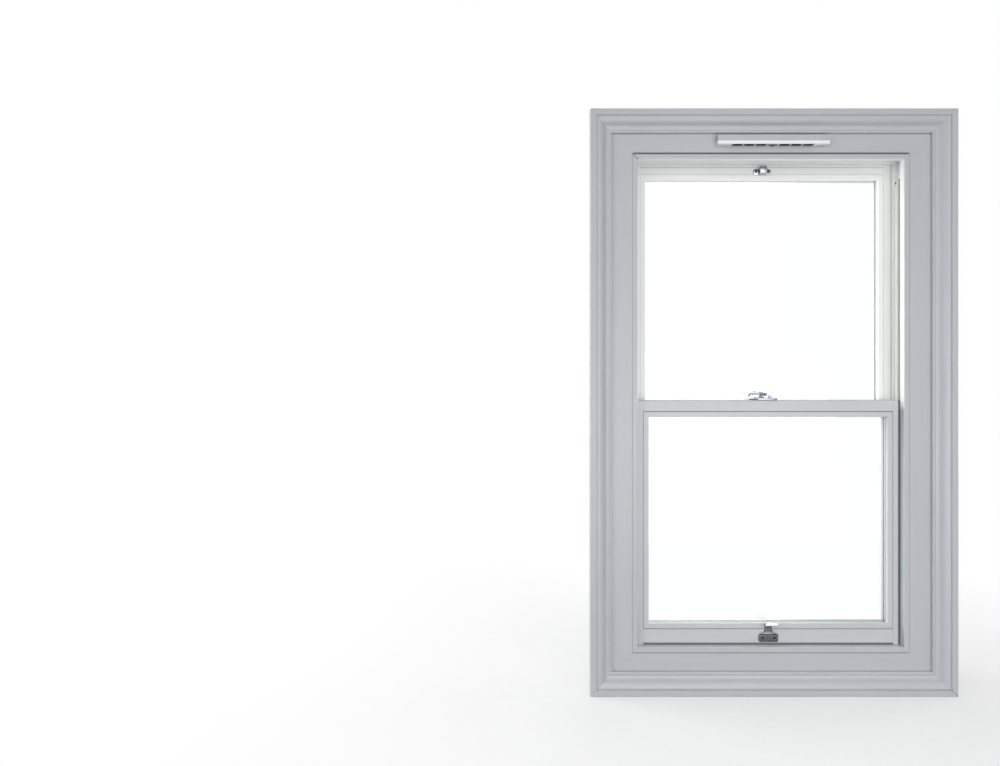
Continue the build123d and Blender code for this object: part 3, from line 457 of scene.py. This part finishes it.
def turned(centre, rings, sides=32):
    """A round piece: a disc that is extruded and scaled ring by ring along +Z."""
    bpy.ops.object.select_all(action="DESELECT")
    x, y, z = centre
    radius, height = rings[0]
    bpy.ops.mesh.primitive_circle_add(
        vertices=sides, radius=radius, fill_type="NGON", location=(x, y, z + height)
    )
    bpy.ops.object.mode_set(mode="EDIT")
    bpy.ops.mesh.select_all(action="SELECT")
    for next_radius, next_height in rings[1:]:
        draw_out(0.0, 0.0, next_height - height)()
        factor = next_radius / radius
        spread((factor, factor, 1.0), (x, y, z + next_height))()
        radius, height = next_radius, next_height
    bpy.ops.mesh.select_all(action="SELECT")
    bpy.ops.mesh.normals_make_consistent(inside=False)
    bpy.ops.object.mode_set(mode="OBJECT")
    return bpy.context.object


def long_disc(radius, thickness, half_gap, centre):
    """A flat plate with round ends, stretched from a disc along X."""
    bpy.ops.object.select_all(action="DESELECT")
    bpy.ops.mesh.primitive_cylinder_add(vertices=48, radius=radius, depth=thickness, location=centre)
    piece = bpy.context.object
    near_middle = radius * 0.01
    edit(("VERT", lambda at, _: at.x > centre[0] + near_middle), push(half_gap, 0.0, 0.0))
    edit(("VERT", lambda at, _: at.x < centre[0] - near_middle), push(-half_gap, 0.0, 0.0))
    return piece


def block(size, centre):
    """A plain block of a size at a centre, to shape further."""
    bpy.ops.object.select_all(action="DESELECT")
    bpy.ops.mesh.primitive_cube_add(size=1.0, location=centre)
    piece = bpy.context.object
    piece.scale = size
    bpy.ops.object.transform_apply(location=False, rotation=False, scale=True)
    return piece


def wear(piece, finish):
    """Give a new piece one finish all over."""
    piece.data.materials.clear()
    piece.data.materials.append(finish)


base_chrome = metal("base_chrome_dark_reflection", (0.34, 0.37, 0.43, 1.0), 0.20, 1500.0, 0.12)
lever_chrome = metal("lever_chrome_dark_reflection", (0.19, 0.18, 0.24, 1.0), 0.20, 1500.0, 0.12)
plate = long_disc(0.010, 0.006, 0.020, (0.0, fastener_y, 0.719))
edit(
    ("FACE", lambda at, way: way.z > 0.9),
    lambda: bpy.ops.mesh.inset(thickness=0.0018, depth=0.0),
    lambda: bpy.ops.mesh.inset(thickness=0.0022, depth=0.0003),
)
ease(0.0012)
boss_rings = [
    (0.0074, 0.7216),
    (0.0070, 0.7228),
    (0.0058, 0.7245),
    (0.0051, 0.7268),
    (0.0047, 0.7290),
    (0.0042, 0.7300),
]
boss = turned((pivot_x, fastener_y, 0.0), boss_rings)
pin_rings = [
    (0.0030, 0.7296),
    (0.0030, 0.7356),
    (0.0043, 0.7356),
    (0.0043, 0.7366),
    (0.0035, 0.7373),
    (0.0012, 0.7376),
]
pin = turned((pivot_x, fastener_y, 0.0), pin_rings)
stop_x = 0.011
stop_top = 0.729
block((0.008, 0.008, 0.0075), (stop_x, fastener_y, stop_top - 0.00375))
edit(("FACE", lambda at, way: way.z > 0.9), spread((0.72, 0.72, 1.0), (stop_x, fastener_y, stop_top)))
ease(0.0009)
base = settle("cast_fastener_base", plate, boss, pin)
smooth()
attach(base, "lower_sash")
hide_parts("fastener_base")
wear(base, base_chrome)

lever_mid = 0.73275
eye = turned((pivot_x, fastener_y, 0.0), [(0.0060, 0.7305), (0.0060, 0.7350)])
ease(0.0008)
knob_rings = [
    (0.0030, 0.7275),
    (0.0041, 0.7282),
    (0.0045, 0.7296),
    (0.0045, 0.7340),
    (0.0038, 0.7348),
    (0.0020, 0.7350),
]
knob = turned((-0.0005, fastener_y, 0.0), knob_rings)
block((0.011, 0.0086, 0.0045), (-0.0105, fastener_y, lever_mid))
lever_lengths = [
    (0.010, 0.0, 0.78, 0.92),
    (0.010, 0.0, 0.94, 1.0),
    (0.0050, 0.0010, 1.05, 1.0),
    (0.0030, 0.0026, 1.05, 0.95),
    (0.0020, 0.0028, 0.9, 0.8),
]
steps = []
drop = 0.0
for length, fall, width_share, depth_share in lever_lengths:
    drop += fall
    steps.append(draw_out(-length, 0.0, -fall))
    steps.append(spread((1.0, width_share, depth_share), (0.0, fastener_y, lever_mid - drop)))
edit(("FACE", lambda at, way: way.x < -0.9), *steps)
ease(0.0011)
lever = settle("cast_fastener_lever", eye, knob)
bpy.ops.object.select_all(action="DESELECT")
bpy.ops.mesh.primitive_cylinder_add(
    vertices=32, radius=0.00305, depth=0.02, location=(pivot_x, fastener_y, lever_mid)
)
drill = bpy.context.object


def cut(piece, cutter):
    """Cut one solid from another and remove the cutter."""
    bpy.ops.object.select_all(action="DESELECT")
    piece.select_set(True)
    bpy.context.view_layer.objects.active = piece
    hole = piece.modifiers.new("hole", "BOOLEAN")
    hole.operation = "DIFFERENCE"
    hole.solver = "EXACT"
    hole.use_self = True
    hole.object = cutter
    bpy.ops.object.modifier_apply(modifier=hole.name)
    bpy.data.objects.remove(cutter, do_unlink=True)


cut(lever, drill)
smooth()
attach(lever, "fastener_lever")
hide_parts("fastener_lever")
wear(lever, lever_chrome)
dress(base_chrome, "fastener_keeper")

# The hook lift on the bottom rail: one strap of plated brass, cut with shoulders above its screwed
# plate and rolled outward at the top for the fingers. It is written dark, a painted reflection of
# the dim room, with a painted highlight on its lip.
lip_highlight = (-0.094, -0.088, 0.85)
lift_grey = (0.13, 0.137, 0.14, 1.0)
lift_metal = metal("lift_chrome_dark_reflection", lift_grey, 0.22, 1300.0, 0.2, painted_highlight=lip_highlight)
lift_back = -0.0765
lift_face = -0.0795
strap_mid = (lift_back + lift_face) / 2
lift_screw_z = 0.1023
plate = block((0.050, 0.003, 0.021), (0.0, strap_mid, lift_screw_z))
edit(
    ("EDGE", lambda at, way: abs(way.y) > 0.9),
    lambda: bpy.ops.mesh.bevel(offset=0.004, segments=5, affect="EDGES"),
)
ease(0.0006)
block((0.043, 0.003, 0.003), (0.0, strap_mid, 0.1113))
neck_lengths = [(0.0008, 0.84), (0.0014, 0.82), (0.0026, 0.78), (0.0046, 0.80)]
curl_y = lift_back - 0.008
curl_z = 0.1328


def roll(centre, angle, steps):
    """Edit-mode step that sweeps the chosen face round an axis along X."""
    return lambda: bpy.ops.mesh.spin(steps=steps, angle=angle, center=centre, axis=(1.0, 0.0, 0.0))


steps = []
for length, width_share in neck_lengths:
    steps.append(draw_out(0.0, 0.0, length))
    steps.append(spread((width_share, 1.0, 1.0), (0.0, strap_mid, 0.0)))
steps.append(draw_out(0.0, 0.0, 0.0106))
steps.append(roll((0.0, curl_y, curl_z), -math.pi / 2, 8))
edit(("FACE", lambda at, way: way.z > 0.9), *steps)
lip_y = -0.0975
lip_z = 0.1458
edit(
    ("FACE", lambda at, way: way.y < -0.9 and at.z > 0.136),
    draw_out(0.0, -0.0060, 0.0),
    spread((1.26, 1.0, 0.95), (0.0, -0.0905, 0.1393)),
    draw_out(0.0, -0.0070, 0.0),
    spread((1.30, 1.0, 0.90), (0.0, lip_y, 0.1393)),
    roll((0.0, lip_y, lip_z), math.radians(75), 6),
)
edit(
    ("FACE", lambda at, way: way.z > 0.9 and at.y < -0.1015),
    draw_out(0.0, 0.0004, 0.0030),
    spread((0.86, 0.8, 1.0), (0.0, -0.1032, 0.1470)),
    draw_out(0.0, 0.0008, 0.0022),
    spread((0.70, 0.7, 1.0), (0.0, -0.1026, 0.1492)),
)
ease(0.0007)
lift = settle("rolled_hook_lift", plate)
smooth()
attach(lift, "lower_sash")
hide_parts("hook_lift")
wear(lift, lift_metal)

# The sash pull on the upper sash's top rail: a chrome plated casting, an oval plate with an upturned
# tongue for a finger, held by two screws.
pull_face = -0.031
pull_z = 1.3197
chrome = metal("satin_chrome_plate", (0.44, 0.45, 0.47, 1.0), 0.12, 1500.0, 0.12)
plate_centre = (0.0, pull_face + 0.00125, pull_z)
plate = long_disc(0.0085, 0.0025, 0.0155, plate_centre)
bpy.ops.transform.rotate(value=-math.pi / 2, orient_axis="X", center_override=plate_centre)
ease(0.0009)
block((0.018, 0.006, 0.006), (0.0, pull_face - 0.002, pull_z - 0.0045))
edit(
    ("FACE", lambda at, way: way.y < -0.9),
    draw_out(0.0, -0.0042, 0.0006),
    draw_out(0.0, -0.0025, 0.0030),
)
edit(
    ("FACE", lambda at, way: way.z > 0.6 and at.y < pull_face - 0.0085),
    draw_out(0.0, -0.0006, 0.0060),
    spread((1.0, 0.9, 1.0), (0.0, pull_face - 0.0105, pull_z + 0.005)),
    draw_out(0.0, -0.0002, 0.0050),
    spread((0.86, 0.8, 1.0), (0.0, pull_face - 0.0108, pull_z + 0.010)),
)
ease(0.0009)
pull = settle("oval_sash_pull", plate)
smooth()
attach(pull, "upper_sash")
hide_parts("sash_pull")
wear(pull, chrome)

# The screws: countersunk wood screws of plated steel with a cross recess, turned home by hand, so
# that their recesses stand at odd angles. Longer ones hold the balance tubes to the jambs. Their
# steel is written nearly black, a painted dark reflection, as the small heads look from the camera.
screw_steel = metal("screw_steel_dark_reflection", (0.006, 0.006, 0.007, 1.0), 0.36, 1800.0, 0.2)


def wood_screw(length):
    """A screw along Z with its head up at the origin: tip, thread, shank, cone, head, recess."""
    tip = -length
    thread_end = tip * 0.45
    pitch = 0.0013
    root, crest, shank = 0.0011, 0.0016, 0.0016
    turns = int((thread_end - tip - 0.002) / pitch)
    rings = [(0.0002, tip)]
    for turn in range(turns):
        foot = tip + 0.002 + turn * pitch
        rings += [(root, foot), (crest, foot + pitch * 0.45), (root, foot + pitch * 0.9)]
    rings += [(shank, thread_end + 0.001), (shank, -0.0018), (0.0031, -0.0003)]
    rings += [(0.00315, -0.0001), (0.0029, 0.0), (0.0018, 0.0002), (0.0004, 0.0003)]
    screw = turned((0.0, 0.0, 0.0), rings, sides=24)
    for wide, deep in ((0.0034, 0.0007), (0.0007, 0.0034)):
        recess = block((wide, deep, 0.0022), (0.0, 0.0, 0.0))
        edit(("FACE", lambda at, way: way.z < -0.9), spread((0.55, 0.55, 1.0), (0.0, 0.0, -0.0011)))
        cut(screw, recess)
    bpy.context.view_layer.objects.active = screw
    screw = settle("wood_screw")
    smooth()
    return screw


def drive(pattern, places):
    """Copies of one screw at their places: point, way that the head faces, turn of its recess."""
    screws = []
    for point, facing, turn in places:
        screw = pattern.copy()
        screw.data = pattern.data.copy()
        bpy.context.collection.objects.link(screw)
        aim = Vector(facing).to_track_quat("Z", "Y").to_matrix().to_4x4()
        twist = Matrix.Rotation(math.radians(turn), 4, "Z")
        screw.matrix_world = Matrix.Translation(point) @ aim @ twist
        screws.append(screw)
    return screws


inward = (0.0, -1.0, 0.0)
keeper_y = -0.0245
keeper_foot_top = 0.719
tube_face = 0.3395
short_screw = wood_screw(0.018)
long_screw = wood_screw(0.0315)
screw_sets = {
    "fastener_and_lift_screws": ("lower_sash_screws", "lower_sash", "chrome", short_screw, [
        ((-0.022, fastener_y, base_top), up, 20.0),
        ((0.022, fastener_y, base_top), up, 64.0),
        ((-0.015, lift_face, lift_screw_z), inward, 12.0),
        ((0.015, lift_face, lift_screw_z), inward, 51.0),
    ]),
    "keeper_and_pull_screws": ("upper_sash_screws", "upper_sash", "chrome", short_screw, [
        ((-0.0255, keeper_y, keeper_foot_top), up, 33.0),
        ((0.0065, keeper_y, keeper_foot_top), up, 80.0),
        ((-0.016, pull_face, pull_z), inward, 8.0),
        ((0.016, pull_face, pull_z), inward, 40.0),
    ]),
    "balance_tube_screws": ("balance_screws", "frame", "bright_steel", long_screw, [
        ((side * tube_face, y, z), (-side, 0.0, 0.0), turn)
        for side, turn in ((-1, 17.0), (1, 55.0))
        for y, z in ((-0.0575, 1.283), (-0.0095, 1.323))
    ]),
}
for name, (node, body, slot, pattern, places) in screw_sets.items():
    screws = drive(pattern, places)
    bpy.context.view_layer.objects.active = screws[0]
    joined = settle(name, *screws[1:])
    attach(joined, body)
    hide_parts(node)
    wear(joined, screw_steel)
for pattern in (short_screw, long_screw):
    bpy.data.objects.remove(pattern, do_unlink=True)

# The trickle vent: a moulded plastic cover clipped over ports in the head, a shutter that slides
# behind its slots, and a canopy that keeps the rain out. The cover takes the linings' shaded white.
# The shutter, the cover's inside and patches over six of the slots are painted shade, so that the
# slots look deep, and a painted highlight lightens the lower edge of the cover.
cover_underside = 1.3672
highlight_edge_top = 1.3752
hollow_low = (-0.1396, -0.1178, cover_underside)
hollow_high = (0.1396, 0.05, 1.3890)
slot_pitch = 0.030
patch_half_length = 0.0135
patch_row_end = 0.1035
patch_front = -0.1175
patch_back = -0.1005
highlight_white = (0.93, 0.94, 0.95, 1.0)
hollow_shade_black = (0.015, 0.016, 0.018, 1.0)
patch_shade_black = (0.02, 0.021, 0.023, 1.0)


def slot_shade_and_highlight(tree, place, colour):
    """A painted highlight on the lower edge, painted shade inside, and a patch of painted shade over each
    slot but the middle one.
    """
    x, y, z = add(tree, "SeparateXYZ", Vector=place).outputs
    soft = 0.0004
    edge_highlight_share = ramp(tree, z, highlight_edge_top - soft, highlight_edge_top + soft, 1.0, 0.0)
    base = blend(tree, edge_highlight_share, colour, highlight_white)
    inside = 1.0
    for along, low_side, high_side in zip((x, y, z), hollow_low, hollow_high):
        for test, side in (("GREATER_THAN", low_side), ("LESS_THAN", high_side)):
            inside = reckon(tree, "MULTIPLY", inside, reckon(tree, test, along, side))
    base = blend(tree, inside, base, hollow_shade_black)
    from_slot = reckon(tree, "PINGPONG", x, slot_pitch / 2)
    from_middle = reckon(tree, "ABSOLUTE", x)
    from_row = reckon(tree, "ABSOLUTE", reckon(tree, "SUBTRACT", y, (patch_front + patch_back) / 2))
    half_depth = (patch_back - patch_front) / 2
    patch = 1.0
    for limit in (
        ramp(tree, from_slot, patch_half_length - soft, patch_half_length + soft, 1.0, 0.0),
        ramp(tree, from_row, half_depth - 0.0006, half_depth, 1.0, 0.0),
        reckon(tree, "LESS_THAN", from_middle, patch_row_end),
        reckon(tree, "GREATER_THAN", from_middle, slot_pitch / 2),
        ramp(tree, z, cover_underside - 0.0001, cover_underside + 0.0001, 1.0, 0.0),
    ):
        patch = reckon(tree, "MULTIPLY", patch, limit)
    return blend(tree, patch, base, patch_shade_black)


vent_white = moulded_plastic("vent_cover_plastic", shaded_trim_white, 0.38, 1100.0, marks=slot_shade_and_highlight)
shutter_shade_dark = moulded_plastic("vent_shutter_shade_dark", (0.030, 0.032, 0.034, 1.0), 0.5, 1100.0)
canopy_white = moulded_plastic("vent_canopy_plastic", (0.80, 0.81, 0.81, 1.0), 0.42, 1100.0)
dress(vent_white, "vent_cover")
dress(canopy_white, "vent_canopy")
dress(shutter_shade_dark, "vent_slider")

# The studio: a pale floor under the window, a white surround, soft lamps in front of it, low down
# and at both sides of the room, and three outdoors that light the reveals and the back.
floor_z = cad_box[0][2] - 0.001
bpy.ops.mesh.primitive_plane_add(size=14.0, location=(0.0, 0.0, floor_z))
floor = bpy.context.object
floor.name = "studio_floor"


def shown_rays(tree):
    """One for rays that show the surround itself: from the camera, mirrored or through glass."""
    rays = add(tree, "LightPath").outputs
    seen = reckon(tree, "MAXIMUM", rays["Is Camera Ray"], rays["Is Glossy Ray"])
    return rays, reckon(tree, "MAXIMUM", seen, rays["Is Transmission Ray"])


pale, tree, ground, place = blank_finish("pale_floor")
ground.inputs["Roughness"].default_value = 0.9
cloudy = ramp(tree, noise(tree, place, 30.0, 4.0), 0.3, 0.7, 0.98, 1.02)
tree.links.new(shaded(tree, (0.80, 0.80, 0.80), cloudy), ground.inputs["Base Color"])
rays, shown = shown_rays(tree)
glow = add(tree, "Emission", Color=(1.0, 1.0, 1.0, 1.0), Strength=shown)
from_window = add(tree, "VectorMath", {"operation": "LENGTH"}, i0=place).outputs["Value"]
fade = ramp(tree, from_window, 0.5, 1.6, 0.5, 1.0)
for ray in ("Is Glossy Ray", "Is Transmission Ray"):
    fade = reckon(tree, "MAXIMUM", rays[ray], fade)
lifted = add(tree, "MixShader", i0=fade, i1=ground.outputs[0], i2=glow.outputs[0])
tree.links.new(lifted.outputs[0], tree.nodes["Material Output"].inputs["Surface"])
floor.data.materials.append(pale)

# A dark card on the room side, which only mirrors see, gives plated metal something to reflect.
card_place = (-2.6, -4.6, 1.6)
bpy.ops.mesh.primitive_plane_add(size=6.0, location=card_place, rotation=(math.pi / 2, 0.0, 0.0))
card = bpy.context.object
card.name = "room_side_card"
card_grey = bpy.data.materials.new("grey_card")
card_grey.use_nodes = True
matt = card_grey.node_tree.nodes["Principled BSDF"]
matt.inputs["Base Color"].default_value = (0.08, 0.085, 0.09, 1.0)
matt.inputs["Roughness"].default_value = 0.9
card.data.materials.append(card_grey)
card.visible_camera = False
card.visible_diffuse = False
card.visible_transmission = False
card.visible_shadow = False

world = bpy.data.worlds.new("white_surround")
bpy.context.scene.world = world
world.use_nodes = True
tree = world.node_tree
surround = tree.nodes["Background"]
surround.inputs["Color"].default_value = (1.0, 1.0, 1.0, 1.0)
ambient = 0.24
rays, shown = shown_rays(tree)
tree.links.new(ramp(tree, shown, 0.0, 1.0, ambient, 1.0), surround.inputs["Strength"])

middle = Vector((0.0, 0.0, 0.70))
for name, stand, width, power in (
    ("room_front_lamp", (0.3, -3.0, 1.7), 1.8, 18.0),
    ("room_low_lamp", (0.2, -1.9, 0.15), 1.6, 27.0),
    ("room_left_lamp", (-2.6, -2.4, 1.6), 2.0, 34.0),
    ("room_right_lamp", (2.8, -2.8, 1.4), 2.0, 8.0),
    ("outdoor_side_lamp", (-2.8, 0.85, 1.1), 1.6, 68.0),
    ("outdoor_far_side_lamp", (2.8, 1.0, 1.1), 1.6, 26.0),
    ("outdoor_low_lamp", (0.2, 2.0, 0.55), 1.1, 20.0),
):
    bpy.ops.object.light_add(type="AREA", location=stand)
    lamp = bpy.context.object
    lamp.name = name
    lamp.data.size = width
    lamp.data.energy = power
    lamp.rotation_euler = (middle - Vector(stand)).to_track_quat("-Z", "Y").to_euler()
    lamp.visible_camera = False
    lamp.visible_transmission = False

# The camera stands where the photograph was taken: level, square to the window, a little under
# two metres from the architrave and to the left of the window.
camera_place = (-0.694, -2.0435, 0.761)
focal_pixels = 760.0
image_width = 1000.0
bpy.ops.object.camera_add(location=camera_place, rotation=(math.pi / 2, 0.0, 0.0))
camera = bpy.context.object
camera.data.sensor_width = 36.0
camera.data.lens = focal_pixels / image_width * camera.data.sensor_width
bpy.context.scene.camera = camera
bpy.context.scene.view_settings.view_transform = "Standard"
